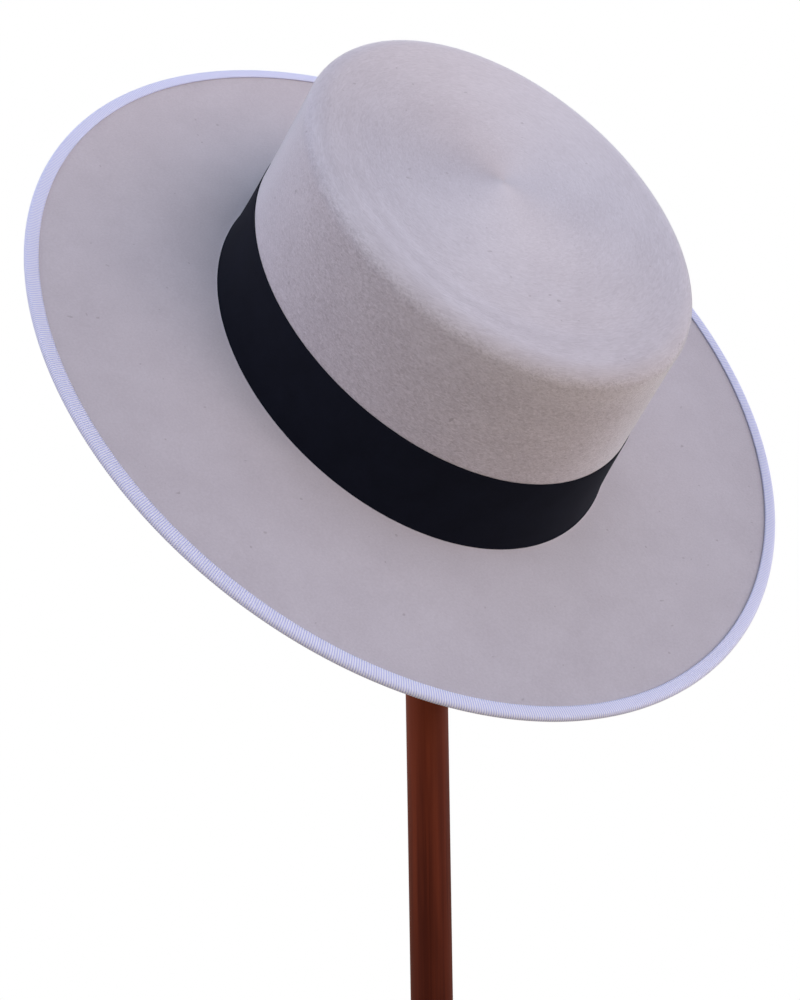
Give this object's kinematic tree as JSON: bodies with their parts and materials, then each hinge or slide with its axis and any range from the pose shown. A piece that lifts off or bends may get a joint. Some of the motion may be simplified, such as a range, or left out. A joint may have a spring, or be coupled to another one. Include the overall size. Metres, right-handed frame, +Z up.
{
  "type": "gaucho hat on a wooden stand",
  "caption": "Wide-brimmed felt hat with a round-cornered crown, black ribbon and bound brim, hanging nose down on a plain wooden pole with a round foot.",
  "frame": {"origin": "centre of the underside of the stand's base, on the axis of the pole", "axes": "+Z up along the pole, -Y towards the side that the picture shows, +X to the picture's right"},
  "size_m": [0.3039, 0.2512, 0.465],
  "materials": {
    "felt": "brushed wool felt, dull",
    "black_ribbon": "smooth woven ribbon, low sheen",
    "pale_ribbon": "fine cross-ribbed ribbon",
    "stained_wood": "red-brown stain, satin varnish"
  },
  "bodies": {
    "root": {"felt_crown_and_brim": "felt", "hat_band": "black_ribbon", "brim_binding": "pale_ribbon", "stand_pole": "stained_wood", "stand_base": "stained_wood"}
  },
  "joints": []
}
